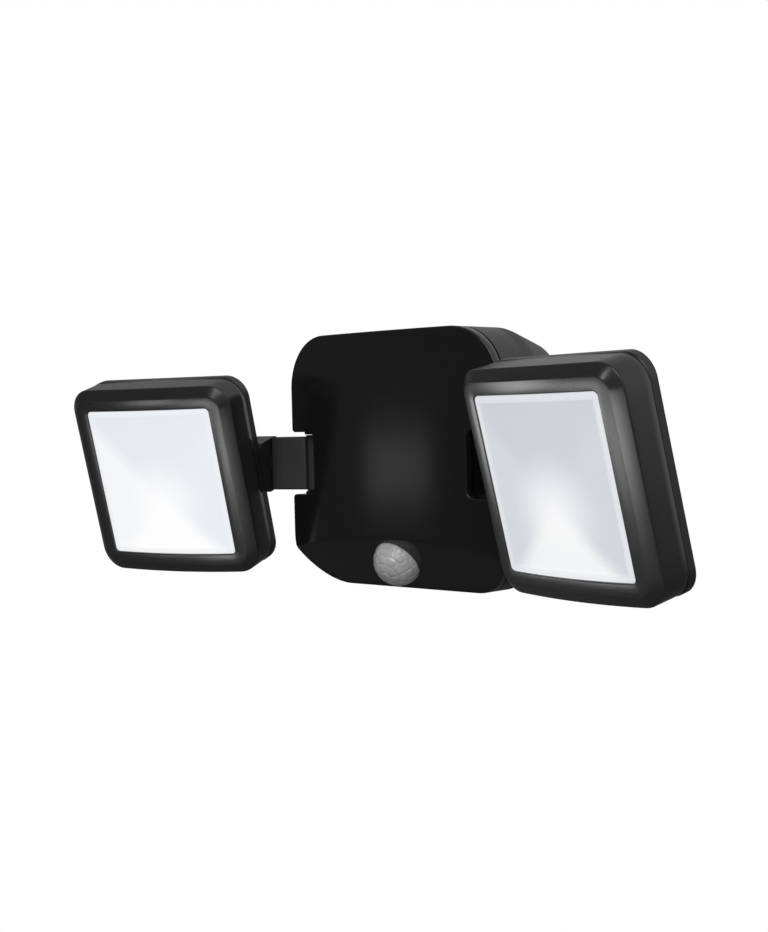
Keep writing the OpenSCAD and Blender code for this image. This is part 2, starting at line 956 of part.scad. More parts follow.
module heat_plate(s) {
  color([0.8, 0.8, 0.82])
    head_frame(s)
      difference() {
        slab(head_w - 22, head_h - 22, 4, refl_v + refl_d + 1.2, refl_v + refl_d + 3.2);
        for (i = [-2:2])
          translate([i * 14, 0, 36])
            ycyl(2.5, 0, 40);
      }
}

shell_in = plastic_t + 0.2;
module rear_shell(s) {
  color([0.15, 0.15, 0.16])
    head_frame(s)
      difference() {
        union() {
          difference() {
            union() {
              tapered(head_w, head_h, head_r, [[seam_v, 0.35], [seam_v + 0.4, 0], [head_d, 0],
                [head_back, 7]]);
              slab(head_w - 2 * shell_in, head_h - 2 * shell_in, head_r - shell_in,
                seam_v - 3, seam_v + 1);
            }
            tapered(head_w, head_h, head_r, [[seam_v - 4, shell_in + 1.5],
              [head_d - 0.6, shell_in + 1.5], [head_back - plastic_t, 8]]);
          }
          for (i = [-1, 1], j = [-1, 1])
            translate([i * (head_w / 2 - 9), 0, j * (head_h / 2 - 9)])
              ycyl(3.4, 13.6, head_d);
          translate([-s * (knuckle_w + 36) / 2, 0, 0])
            rotate([90, 0, 90])
              linear_extrude(knuckle_w - 36, center = true)
                translate([(head_d - 1 + head_set + 8.2) / 2, 0])
                  rrect(head_set + 9.2 - head_d, knuckle_h, 3);
        }
        translate([0, head_set, 0]) {
          xcyl(bolt_r + run_gap, -s * 44, -s * 60);
          xcyl(5.5, -s * 35, -s * 46);
        }
        for (i = [-1, 1], j = [-1, 1])
          translate([i * (head_w / 2 - 9), 0, j * (head_h / 2 - 9)]) {
            ycyl(1.6, 12, 40);
            ycyl(3, head_d - 4, 40);
          }
      }
}

module head_screws(s) {
  color([0.75, 0.75, 0.77])
    head_frame(s)
      for (i = [-1, 1], j = [-1, 1])
        translate([i * (head_w / 2 - 9), head_d - 4, j * (head_h / 2 - 9)])
          screw(1.3, 2.7, 12, 1.8);
}

module tilt_cap(s) {
  color([0.2, 0.2, 0.21])
    head_frame(s)
      translate([0, head_set, 0])
        xcyl(5.5, -s * 36, -s * 37.6);
}

module arm_left() {
  arm(-1);
}

module arm_cover_left() {
  arm_cover(-1);
}

module arm_screws_left() {
  arm_screws(-1);
}

module hinge_washers_left() {
  hinge_washers(-1);
}

module tilt_bolt_left() {
  tilt_bolt(-1);
}

module tilt_disc_left() {
  tilt_disc(-1);
}

module tilt_nut_left() {
  tilt_nut(-1);
}

module arm_right() {
  arm(1);
}

module arm_cover_right() {
  arm_cover(1);
}

module arm_screws_right() {
  arm_screws(1);
}

module hinge_washers_right() {
  hinge_washers(1);
}

module tilt_bolt_right() {
  tilt_bolt(1);
}

module tilt_disc_right() {
  tilt_disc(1);
}

module tilt_nut_right() {
  tilt_nut(1);
}

module bezel_left() {
  bezel(-1);
}

module diffuser_left() {
  diffuser(-1);
}

module lens_gasket_left() {
  lens_gasket(-1);
}

module reflector_left() {
  reflector(-1);
}

module led_board_left() {
  led_board(-1);
}

module leds_left() {
  leds(-1);
}

module heat_plate_left() {
  heat_plate(-1);
}

module rear_shell_left() {
  rear_shell(-1);
}

module head_screws_left() {
  head_screws(-1);
}

module tilt_cap_left() {
  tilt_cap(-1);
}

module bezel_right() {
  bezel(1);
}

module diffuser_right() {
  diffuser(1);
}

module lens_gasket_right() {
  lens_gasket(1);
}

module reflector_right() {
  reflector(1);
}

module led_board_right() {
  led_board(1);
}

module leds_right() {
  leds(1);
}

module heat_plate_right() {
  heat_plate(1);
}

module rear_shell_right() {
  rear_shell(1);
}

module head_screws_right() {
  head_screws(1);
}

module tilt_cap_right() {
  tilt_cap(1);
}

wall_plate();
rear_housing();
rear_gasket();
mid_frame();
front_cover();
cover_gasket();
pir_lens();
pir_retainer();
pir_sensor();
pir_board();
control_board();
board_chips();
board_capacitors();
board_connectors();
board_screws();
battery_tray();
cell_upper_left();
cell_upper_right();
cell_lower_left();
cell_lower_right();
battery_springs();
battery_contacts();
cover_screws();
rear_screws();
plate_screws();
hinge_pins();
arm_left();
arm_cover_left();
arm_screws_left();
hinge_washers_left();
tilt_bolt_left();
tilt_disc_left();
tilt_nut_left();
arm_right();
arm_cover_right();
arm_screws_right();
hinge_washers_right();
tilt_bolt_right();
tilt_disc_right();
tilt_nut_right();
bezel_left();
diffuser_left();
lens_gasket_left();
reflector_left();
led_board_left();
leds_left();
heat_plate_left();
rear_shell_left();
head_screws_left();
tilt_cap_left();
bezel_right();
diffuser_right();
lens_gasket_right();
reflector_right();
led_board_right();
leds_right();
heat_plate_right();
rear_shell_right();
head_screws_right();
tilt_cap_right();
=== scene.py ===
# %% [markdown]
# # Twin-head wall floodlight
# The light is a rounded-square housing with a gloss black cover, a milky
# sensor dome low on its front, and two square lamp heads on short arms.
# The engineering model is loaded first and stays a fixed frame. The steps
# below give every part its finish and rebuild the moulded skins with the
# soft edges that a mould leaves.

import math
import bpy
import bmesh
from mathutils import Matrix, Vector, geometry


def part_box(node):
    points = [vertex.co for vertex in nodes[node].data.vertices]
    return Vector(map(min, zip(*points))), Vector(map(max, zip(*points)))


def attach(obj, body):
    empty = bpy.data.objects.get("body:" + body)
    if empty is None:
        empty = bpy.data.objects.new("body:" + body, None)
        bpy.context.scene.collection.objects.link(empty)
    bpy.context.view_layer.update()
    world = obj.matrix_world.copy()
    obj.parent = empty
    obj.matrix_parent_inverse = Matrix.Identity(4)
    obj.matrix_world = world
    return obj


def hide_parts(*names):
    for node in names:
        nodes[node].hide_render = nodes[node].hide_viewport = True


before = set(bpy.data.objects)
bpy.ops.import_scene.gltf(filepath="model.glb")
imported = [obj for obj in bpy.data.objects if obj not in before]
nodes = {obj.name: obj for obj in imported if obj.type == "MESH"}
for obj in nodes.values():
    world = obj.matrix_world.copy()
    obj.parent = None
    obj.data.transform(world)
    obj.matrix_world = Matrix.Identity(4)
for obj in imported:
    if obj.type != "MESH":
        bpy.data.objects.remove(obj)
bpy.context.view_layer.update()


# %% [markdown]
# ## The camera
# It stands well to the right of the light and almost level with it, with a
# medium-long lens, so the two heads show their right sides. The three axes
# are the camera's own right, up and backward directions.

# %% Camera
view = bpy.data.cameras.new("view")
view.sensor_width = 36.0
view.lens = 58.336
camera = bpy.data.objects.new("view", view)
bpy.context.scene.collection.objects.link(camera)
AXES = ((0.72733, 0.68586, -0.02417), (-0.00422, 0.03968, 0.99920), (0.68628, -0.72665, 0.03175))
camera.matrix_world = (Matrix.Translation((0.54826, -0.65386, 0.02301))
                       @ Matrix(AXES).transposed().to_4x4())
bpy.context.scene.camera = camera
bpy.context.scene.view_settings.view_transform = "Standard"
print("camera at", tuple(round(c, 3) for c in camera.matrix_world.translation))

# %% [markdown]
# ## Colour and node helpers
# Colours are written as the hex values that a designer reads on a screen.
# The shader works in linear light, so one function converts them. A second
# one adds a node with its settings and links in a single call. Every
# material starts from object coordinates in millimetres, because a real
# grain has a real size.

# %% Helpers
def hex_colour(text):
    """sRGB hex to linear RGBA."""
    out = []
    for i in (1, 3, 5):
        c = int(text[i:i + 2], 16) / 255
        out.append(c / 12.92 if c <= 0.04045 else ((c + 0.055) / 1.055) ** 2.4)
    return (*out, 1.0)


def add(tree, kind, inputs=None, stops=(), **settings):
    """One node: settings are properties, inputs are values or sockets, stops fill a ramp."""
    node = tree.nodes.new(kind)
    for key, value in settings.items():
        setattr(node, key, value)
    for key, value in (inputs or {}).items():
        if isinstance(value, bpy.types.NodeSocket):
            tree.links.new(value, node.inputs[key])
        else:
            node.inputs[key].default_value = hex_colour(value) if isinstance(value, str) else value
    # a new ramp has two elements, and every ramp here has two stops
    for i, (at, colour) in enumerate(stops):
        node.color_ramp.elements[i].position = at
        node.color_ramp.elements[i].color = hex_colour(colour)
    return node


def new_material(name, **principled):
    """Material, its tree, its shader and a socket of object coordinates in millimetres."""
    made = bpy.data.materials.new(name)
    made.use_nodes = True
    tree = made.node_tree
    shader = tree.nodes["Principled BSDF"]
    for key, value in principled.items():
        shader.inputs[key.replace("_", " ")].default_value = value
    place = add(tree, "ShaderNodeTexCoord")
    mm = add(tree, "ShaderNodeVectorMath", {0: place.outputs["Object"], "Scale": 1000.0},
             operation="SCALE")
    return made, tree, shader, mm.outputs["Vector"]


print("node helpers ready")


# %% [markdown]
# ## Moulded plastics
# The shells are injection-moulded ABS. A polished tool leaves the cover
# almost like glass with a very slight ripple. The bezels come from a satin
# tool, and the arms and rear parts from a spark-eroded tool, which leaves a
# fine grain of about half a millimetre. The tint drifts a little over
# 20 mm, as pigment does when the melt flows. The washers are black acetal,
# and the smaller parts are silicone, nylon and resins.

# %% Plastic materials
def moulded(name, tint_a, tint_b, rough, grain_mm, grain_deep, ripple_deep=0.0, **principled):
    """Moulded plastic; the grain's width and depth and the ripple's depth are in mm."""
    made, t, s, mm = new_material(name, IOR=1.53, **principled)
    drift = add(t, "ShaderNodeTexNoise", {"Vector": mm, "Scale": 1 / 20, "Detail": 3.0})
    tint = add(t, "ShaderNodeMix", {"Factor": drift.outputs["Fac"], "A": tint_a, "B": tint_b},
               data_type="RGBA")
    grain = add(t, "ShaderNodeTexNoise", {"Vector": mm, "Scale": 1 / grain_mm, "Detail": 2.0})
    spread = add(t, "ShaderNodeMapRange", {"Value": grain.outputs["Fac"], "From Min": 0.3,
                                           "From Max": 0.7, "To Min": rough * 0.94,
                                           "To Max": rough * 1.06})
    bump = add(t, "ShaderNodeBump", {"Height": grain.outputs["Fac"], "Strength": 1.0,
                                     "Distance": grain_deep / 1000})
    if ripple_deep:
        # sink and flow leave waves about 30 mm long
        wave = add(t, "ShaderNodeTexNoise", {"Vector": mm, "Scale": 1 / 30, "Detail": 1.0})
        bump = add(t, "ShaderNodeBump", {"Height": wave.outputs["Fac"], "Strength": 1.0,
                                         "Distance": ripple_deep / 1000,
                                         "Normal": bump.outputs["Normal"]})
    t.links.new(tint.outputs["Result"], s.inputs["Base Color"])
    t.links.new(spread.outputs["Result"], s.inputs["Roughness"])
    t.links.new(bump.outputs["Normal"], s.inputs["Normal"])
    return made


gloss_abs = moulded("polished_black_abs", "#1b1b1c", "#202021", 0.15, 2.0, 0.0001, 0.02)
satin_abs = moulded("satin_black_abs", "#242425", "#2a2a2b", 0.24, 0.8, 0.0012)
grain_abs = moulded("spark_grain_black_abs", "#3c3c3e", "#4c4c4e", 0.46, 0.45, 0.02)
rear_abs = moulded("spark_grain_rear_abs", "#2e2e30", "#38383a", 0.5, 0.5, 0.02)
shell_abs = moulded("satin_black_shell_abs", "#222223", "#29292a", 0.34, 0.4, 0.004)
black_acetal = moulded("black_acetal", "#141415", "#1a1a1b", 0.4, 0.6, 0.003)
white_nylon = moulded("white_nylon", "#e6e4dc", "#f2f0ea", 0.45, 0.6, 0.006)
silicone = moulded("black_silicone", "#141414", "#1c1c1c", 0.6, 0.5, 0.01)
white_silicone = moulded("white_silicone", "#d8d8d6", "#e4e4e2", 0.55, 0.5, 0.01)
chip_resin = moulded("moulded_chip_resin", "#121214", "#1c1c1f", 0.5, 0.25, 0.01)
sleeve = moulded("capacitor_shrink_sleeve", "#10203c", "#162a4c", 0.3, 1.2, 0.004)
white_pc = moulded("white_reflector_pc", "#f2f3f5", "#fafafa", 0.3, 0.8, 0.003)
phosphor = moulded("led_phosphor_resin", "#e8c84a", "#f3d968", 0.35, 0.3, 0.006)
print("plastics made")

# %% [markdown]
# ## Head places
# The arms and heads sit at the angles they were left at. One matrix gives
# the frame of a head, so a skin can be drawn flat and then set in place. A
# head's own axes are u to its right, v back and w up, from the middle of
# the plane through its lens edge.

# %% Head frames
MM = 0.001                                  # sizes below are written in millimetres
SIDE = {"left": -1, "right": 1}
SWING = {"left": 15.3, "right": -12.1}      # degrees about the swing pin
TILT = {"left": 16.1, "right": 14.0}        # degrees about the tilt bolt
PIN_X, PIN_Y, PIN_Z = 63.9, -58.6, -1.25    # swing pin of the right arm
BOLT_X, BOLT_Y = 84.5, -3.3                 # tilt bolt, from the pin
EDGE_AHEAD = 32.9                           # lens edge, in front of the bolt


def head_frame(side):
    """Matrix that sets a head's own frame in place, in metres."""
    s = SIDE[side]
    return (Matrix.Translation(Vector((s * PIN_X, PIN_Y, PIN_Z)) * MM)
            @ Matrix.Rotation(math.radians(SWING[side]), 4, "Z")
            @ Matrix.Translation(Vector((s * BOLT_X, BOLT_Y, 0)) * MM)
            @ Matrix.Rotation(math.radians(TILT[side]), 4, "X")
            @ Matrix.Translation(Vector((0, -EDGE_AHEAD, 0)) * MM))


for side in SIDE:
    print(side, "head at", tuple(round(c, 4) for c in head_frame(side).translation))

# %% [markdown]
# ## Opal window
# The window is opal acrylic, bright and smooth. Its brightness is a painted glow:
# the colour is also given as emission. The shading of the square white funnel
# behind it is painted into the colour as four soft triangles of painted shade
# that meet low of the middle, with a painted whiter spot low in the middle and a
# paler band round the edge. The triangles are two soft steps across the diagonals.

# %% Opal material
def opal(side, glow, top, left, right, low):
    """Opal acrylic of one head: its painted glow, and the tones of its four triangles of painted
    shade.
    """
    made, t, s, mm = new_material("opal_acrylic_" + side, IOR=1.49, Roughness=0.2,
                                  Subsurface_Weight=0.2, Subsurface_Scale=0.003,
                                  Subsurface_Radius=(1.0, 1.0, 1.0))
    turn = head_frame(side)
    place = add(t, "ShaderNodeTexCoord")
    flat = add(t, "ShaderNodeMapping", {"Vector": place.outputs["Object"],
                                        "Location": turn.translation,
                                        "Rotation": turn.to_euler()}, vector_type="TEXTURE")
    axes = add(t, "ShaderNodeSeparateXYZ", {"Vector": flat.outputs["Vector"]})
    lower = add(t, "ShaderNodeMath", {0: axes.outputs["Z"], 1: 0.008}, operation="ADD")
    steps = []
    for operation in ("SUBTRACT", "ADD"):
        across = add(t, "ShaderNodeMath", {0: lower.outputs["Value"], 1: axes.outputs["X"]},
                     operation=operation)
        steps.append(add(t, "ShaderNodeMapRange", {"Value": across.outputs["Value"],
                                                   "From Min": -0.008, "From Max": 0.008},
                         interpolation_type="SMOOTHSTEP").outputs["Result"])
    # painted shade: the funnel's four walls, lit unevenly, given as four tones of colour
    upper = add(t, "ShaderNodeMix", {"Factor": steps[1], "A": left, "B": top}, data_type="RGBA")
    under = add(t, "ShaderNodeMix", {"Factor": steps[1], "A": low, "B": right}, data_type="RGBA")
    facets = add(t, "ShaderNodeMix", {"Factor": steps[0], "A": under.outputs["Result"],
                                      "B": upper.outputs["Result"]}, data_type="RGBA")
    # painted glow: a whiter spot low in the middle of the window
    reach = add(t, "ShaderNodeVectorMath", {0: flat.outputs["Vector"], 1: (0, 0, -0.012)},
                operation="DISTANCE")
    painted_glow_spot = add(t, "ShaderNodeMapRange", {"Value": reach.outputs["Value"], "From Min": 0.002,
                                         "From Max": 0.032, "To Min": 0.8, "To Max": 0.0},
               interpolation_type="SMOOTHSTEP")
    lit = add(t, "ShaderNodeMix", {"Factor": painted_glow_spot.outputs["Result"],
                                   "A": facets.outputs["Result"], "B": "#fcfcfd"},
              data_type="RGBA")
    # paler border, 3.5 mm wide, from the greater of the two half-size shares
    shares = [add(t, "ShaderNodeMath", {0: add(t, "ShaderNodeMath", {0: axes.outputs[key]},
                                               operation="ABSOLUTE").outputs["Value"],
                                        1: half}, operation="DIVIDE").outputs["Value"]
              for key, half in (("X", 0.0421), ("Z", 0.0431))]
    edge = add(t, "ShaderNodeMath", {0: shares[0], 1: shares[1]}, operation="MAXIMUM")
    border = add(t, "ShaderNodeMapRange", {"Value": edge.outputs["Value"], "From Min": 0.895,
                                           "From Max": 0.935, "To Max": 0.55},
                 interpolation_type="SMOOTHSTEP")
    colour = add(t, "ShaderNodeMix", {"Factor": border.outputs["Result"],
                                      "A": lit.outputs["Result"], "B": "#eef0f3"},
                 data_type="RGBA")
    # painted glow: the base colour is darkened and the full colour is also emission, so the window
    # shines white whatever lamps fall on it
    shade = add(t, "ShaderNodeMix", {"Factor": 0.45, "A": colour.outputs["Result"],
                                     "B": "#000000"}, data_type="RGBA")
    t.links.new(shade.outputs["Result"], s.inputs["Base Color"])
    t.links.new(colour.outputs["Result"], s.inputs["Emission Color"])
    s.inputs["Emission Strength"].default_value = glow
    haze = add(t, "ShaderNodeTexNoise", {"Vector": mm, "Scale": 0.12, "Detail": 2.0})
    bump = add(t, "ShaderNodeBump", {"Height": haze.outputs["Fac"], "Distance": 0.00005,
                                     "Strength": 1.0})
    t.links.new(bump.outputs["Normal"], s.inputs["Normal"])
    return made


# painted glow strength, then the painted shade tones of the top, left, right and low triangles;
# the right window's greyer tones are painted shade for how light falls on that head
windows = {"left": opal("left", 0.83, "#e6eaee", "#f4f5f7", "#e9ecf0", "#fcfcfd"),
           "right": opal("right", 0.82, "#d2d5dc", "#d8dbe1", "#d6d9df", "#f5f6f7")}
print("windows made")

# %% [markdown]
# ## Sensor film, metals and boards
# The sensor dome is moulded polyethylene, milky and slightly see-through.
# Screws and pins are zinc plated, with the faint lay of turning. Boards are
# lacquered over copper tracks a few millimetres apart.

# %% Sensor film
def milky_film():
    """Cloudy film with a thin gloss skin."""
    made, t, s, mm = new_material("milky_polyethylene_film", IOR=1.54, Roughness=0.22,
                                  Subsurface_Weight=0.3, Subsurface_Scale=0.001,
                                  Subsurface_Radius=(1.0, 1.0, 1.0),
                                  Coat_Weight=0.5, Coat_Roughness=0.06)
    cloud = add(t, "ShaderNodeTexNoise", {"Vector": mm, "Scale": 0.22, "Detail": 3.0})
    tint = add(t, "ShaderNodeValToRGB", {"Fac": cloud.outputs["Fac"]},
               stops=[(0.3, "#dcdcde"), (0.7, "#f0f0f1")])
    fine = add(t, "ShaderNodeTexNoise", {"Vector": mm, "Scale": 1.6, "Detail": 2.0})
    bump = add(t, "ShaderNodeBump", {"Height": fine.outputs["Fac"], "Distance": 0.00002,
                                     "Strength": 1.0})
    t.links.new(tint.outputs["Color"], s.inputs["Base Color"])
    t.links.new(bump.outputs["Normal"], s.inputs["Normal"])
    return made


def metal(name, colour, rough, lay_mm, stretch):
    """Metal with a lay: stretch holds the pattern's scale along x, y and z."""
    made, t, s, mm = new_material(name, Metallic=1.0)
    lay = add(t, "ShaderNodeVectorMath", {0: mm, 1: stretch}, operation="MULTIPLY")
    fine = add(t, "ShaderNodeTexNoise", {"Vector": lay.outputs["Vector"], "Scale": 1 / lay_mm,
                                         "Detail": 3.0})
    tint = add(t, "ShaderNodeValToRGB", {"Fac": fine.outputs["Fac"]},
               stops=[(0.3, colour), (0.8, "#dcdcdf")])
    spread = add(t, "ShaderNodeMapRange", {"Value": fine.outputs["Fac"], "To Min": rough - 0.08,
                                           "To Max": rough + 0.08})
    bump = add(t, "ShaderNodeBump", {"Height": fine.outputs["Fac"], "Distance": 0.00001,
                                     "Strength": 1.0})
    t.links.new(tint.outputs["Color"], s.inputs["Base Color"])
    t.links.new(spread.outputs["Result"], s.inputs["Roughness"])
    t.links.new(bump.outputs["Normal"], s.inputs["Normal"])
    return made


def board(name, lacquer, track, pitch_mm):
    """Lacquered board with raised lands at a pitch."""
    made, t, s, mm = new_material(name, Roughness=0.35, IOR=1.5)
    lands = add(t, "ShaderNodeTexVoronoi", {"Vector": mm, "Scale": 1 / pitch_mm,
                                            "Randomness": 0.35}, distance="MANHATTAN")
    tint = add(t, "ShaderNodeValToRGB", {"Fac": lands.outputs["Distance"]},
               stops=[(0.42, lacquer), (0.5, track)])
    bump = add(t, "ShaderNodeBump", {"Height": lands.outputs["Distance"], "Distance": 0.00003,
                                     "Strength": 1.0})
    t.links.new(tint.outputs["Color"], s.inputs["Base Color"])
    t.links.new(bump.outputs["Normal"], s.inputs["Normal"])
    return made


def printed_jacket():
    """Black jacket with a copper-coloured collar toward the outer end of each cell."""
    made, t, s, mm = new_material("printed_cell_jacket", Metallic=0.6, Roughness=0.3)
    along = add(t, "ShaderNodeSeparateXYZ", {"Vector": mm})
    fold = add(t, "ShaderNodeMath", {0: along.outputs["X"], 1: 61.0}, operation="PINGPONG")
    share = add(t, "ShaderNodeMath", {0: fold.outputs["Value"], 1: 61.0}, operation="DIVIDE")
    tint = add(t, "ShaderNodeValToRGB", {"Fac": share.outputs["Value"]},
               stops=[(0.66, "#1a1a1c"), (0.68, "#b87333")])
    scratch = add(t, "ShaderNodeTexNoise", {"Vector": mm, "Scale": 0.8})
    bump = add(t, "ShaderNodeBump", {"Height": scratch.outputs["Fac"], "Distance": 0.00001})
    t.links.new(tint.outputs["Color"], s.inputs["Base Color"])
    t.links.new(bump.outputs["Normal"], s.inputs["Normal"])
    return made


film = milky_film()
zinc = metal("zinc_plated_steel", "#a9abb0", 0.34, 0.6, (1, 0.04, 1))
pin_steel = metal("ground_steel_pin", "#9b9da2", 0.26, 0.4, (1, 1, 0.04))
nickel = metal("nickel_plated_spring_steel", "#a8a69c", 0.24, 0.5, (1, 1, 0.04))
mill_aluminium = metal("mill_finish_aluminium", "#b4b6ba", 0.38, 0.9, (0.04, 1, 1))
green_board = board("green_lacquer_board", "#0e4a26", "#16663a", 2.2)
white_board = board("white_lacquer_board", "#e2e2de", "#f0f0ec", 3.0)
jacket = printed_jacket()
print("metals, boards and film made")

# %% [markdown]
# ## Finishes on the engineering parts
# Every part that keeps its engineering shape gets the finish of its real
# counterpart. Left and right parts share one entry.

# %% Give the finishes
FINISH = {
    grain_abs: "wall_plate pir_retainer battery_tray arm arm_cover tilt_cap",
    rear_abs: "rear_housing", shell_abs: "mid_frame rear_shell", black_acetal: "hinge_washers",
    silicone: "rear_gasket cover_gasket tilt_disc",
    gloss_abs: "front_cover", satin_abs: "bezel", film: "pir_lens",
    green_board: "pir_board control_board", chip_resin: "board_chips",
    sleeve: "board_capacitors", white_nylon: "board_connectors",
    jacket: "cell_upper cell_lower", nickel: "pir_sensor battery_springs battery_contacts",
    zinc: "board_screws cover_screws rear_screws plate_screws arm_screws "
          "tilt_bolt tilt_nut head_screws",
    pin_steel: "hinge_pins", white_silicone: "lens_gasket", white_pc: "reflector",
    white_board: "led_board", phosphor: "leds", mill_aluminium: "heat_plate"}
by_name = {name: made for made, names in FINISH.items() for name in names.split()}
for name, obj in nodes.items():
    stem, _, side = name.rpartition("_")
    finish = windows[side] if stem == "diffuser" else by_name.get(name) or by_name[stem]
    obj.data.materials.clear()
    obj.data.materials.append(finish)
print(len(nodes), "engineering parts finished")

# %% [markdown]
# ## Loft helpers
# A moulded skin is easiest to draw as rings: each ring is a rounded
# rectangle, and the next ring follows the wall round to the inside, until
# the last one meets the first. All rings have the same number of points, so
# neighbours join with four-sided faces and the skin closes on itself.

# %% Rings and lofts
def ring(a, b, r, curve=10, along=24, up=12):
    """Points of a rounded rectangle of half sizes a and b, corner radius r."""
    out = []
    corners = ((1, 1, 0), (-1, 1, 90), (-1, -1, 180), (1, -1, 270))
    for k, (i, j, start) in enumerate(corners):
        for n in range(curve + 1):
            turn = math.radians(start + 90 * n / curve)
            out.append((i * (a - r) + r * math.cos(turn), j * (b - r) + r * math.sin(turn)))
        ni, nj, _ = corners[(k + 1) % 4]
        end = out[-1]
        turn = math.radians(start + 90)
        goal = (ni * (a - r) + r * math.cos(turn), nj * (b - r) + r * math.sin(turn))
        steps = along if k % 2 == 0 else up
        for n in range(1, steps):
            out.append(tuple(end[c] + (goal[c] - end[c]) * n / steps for c in (0, 1)))
    return out


def loft(name, rings, finish, closed=True):
    """Mesh piece through rings of points in metres; a closed one joins its two ends."""
    work = bmesh.new()
    rows = [[work.verts.new(p) for p in points] for points in rings]
    count = len(rows[0])
    pairs = list(zip(rows, rows[1:])) + ([(rows[-1], rows[0])] if closed else [])
    for one, two in pairs:
        for n in range(count):
            m = (n + 1) % count
            work.faces.new((one[n], one[m], two[m], two[n]))
    return finish_mesh(name, work, finish)


def finish_mesh(name, work, finish, sharp_deg=50):
    """Merge doubles, turn faces outwards, smooth all but the sharp edges."""
    bmesh.ops.remove_doubles(work, verts=work.verts, dist=0.000001)
    bmesh.ops.recalc_face_normals(work, faces=work.faces)
    for face in work.faces:
        face.smooth = True
    for edge in work.edges:
        edge.smooth = not (edge.is_manifold and edge.calc_face_angle() > math.radians(sharp_deg))
    mesh = bpy.data.meshes.new(name)
    work.to_mesh(mesh)
    work.free()
    mesh.materials.append(finish)
    piece = bpy.data.objects.new(name, mesh)
    bpy.context.scene.collection.objects.link(piece)
    print(name, len(mesh.polygons), "faces")
    return piece


print("a test ring has", len(ring(10, 10, 2)), "points")


# %% [markdown]
# ## Bezels
# Each bezel is one moulding: an opening with a small lip, a flat ring, a
# sloping bevel, a rounded edge and a straight side that ends at the seam of
# the rear shell. The whole front is bulged across its width, and the upper
# and lower edges are bowed by half a millimetre. The ring list walks this
# section from the opening round to the inside.

# %% Bezel skins
HALF_U, HALF_W, CORNER = 54.6, 55.2, 13.0          # half sizes and corner radius
CROWN, BOW = 3.2, 0.5                              # bulge of the front, bow of its edges
BEVEL_U, BEVEL_V = 5.5, 3.3                        # width and depth of the bevel
SEAM_V, SEAM_GAP, BEZEL_WALL = 18.5, 0.15, 2.5
OPEN_U, OPEN_W, OPEN_R = 42.1, 43.1, 2.5           # opening
LIP_R, CREASE_R, CREASE_IN, EDGE_R = 0.5, 1.6, 0.45, 0.9


def head_point(side, u, w, v, bulge):
    """Place of a point, with the bulge of the front as a share of the full one."""
    w -= w / HALF_W * BOW * (u / HALF_U) ** 2
    v -= bulge * CROWN * (1 - (u / HALF_U) ** 2)
    return turns[side] @ (Vector((u, v, w)) * MM)


def bezel_section():
    """Rings of the bezel: inset from the outer edge, depth, share of the bulge."""
    lip = OPEN_U - HALF_U          # negative: inward from the outer edge
    slope = math.atan2(BEVEL_V, BEVEL_U)
    rows = [(lip, 3.0, 1)]
    for n in range(4):
        turn = math.radians(30 * n)
        rows.append((lip + LIP_R * (1 - math.cos(turn)), LIP_R * (1 - math.sin(turn)), 1))
    # soft crease between ring and bevel
    for n in range(5):
        turn = slope * n / 4
        rows.append((-BEVEL_U - CREASE_IN + CREASE_R * math.sin(turn),
                     CREASE_R * (1 - math.cos(turn)), 1))
    # rounded edge between bevel and side
    tangent = EDGE_R * math.tan((math.pi / 2 - slope) / 2)
    for n in range(8):
        turn = slope + (math.pi / 2 - slope) * n / 7
        rows.append((-EDGE_R + EDGE_R * math.sin(turn),
                     BEVEL_V + tangent - EDGE_R * math.cos(turn), 1))
    # straight side, where the bulge fades out toward the seam
    start = rows[-1][1]
    for n in range(1, 5):
        rows.append((0, start + (SEAM_V - SEAM_GAP - start) * n / 4, 1 - n / 4))
    # seam edge, then the inner wall forward to the back of the ring
    rows += [(-SEAM_GAP, SEAM_V, 0), (-BEZEL_WALL, SEAM_V, 0), (-BEZEL_WALL, 8.0, 0)]
    return rows + [(-3.4, 5.6, 1), (-7.0, 3.0, 1)]


turns = {side: head_frame(side) for side in SIDE}
for side in SIDE:
    rings = []
    for inset, v, bulge in bezel_section():
        outer = inset > -8       # the other rings follow the shape of the opening
        corner = max(OPEN_R, CORNER + inset) if outer else OPEN_R
        half_w = HALF_W + inset if outer else OPEN_W + (inset + HALF_U - OPEN_U)
        rings.append([head_point(side, u, w, v, bulge)
                      for u, w in ring(HALF_U + inset, half_w, corner)])
    piece = loft("moulded_bezel_" + side, rings, satin_abs)
    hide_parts("bezel_" + side)
    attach(piece, side + "_head")

# %% [markdown]
# ## Opal windows
# The window is a shallow tray of acrylic. Its rim stands a little behind
# the lip of the bezel, a border runs round it, and inside the border the
# face steps back a quarter of a millimetre.

# %% Window skins
WINDOW_GAP = 0.15                        # between bezel and window
FACE_V, BACK_V, RIM_V = 0.72, 2.6, 4.4   # depth of the face, its back and the rim's end
# inset from the window's edge and depth, from the rim's end to the face
WINDOW = [(0.05, RIM_V), (0.05, 1.0), (0.15, 0.62), (0.5, 0.45), (3.2, 0.45), (3.6, 0.5),
          (4.0, 0.66), (4.4, FACE_V)]


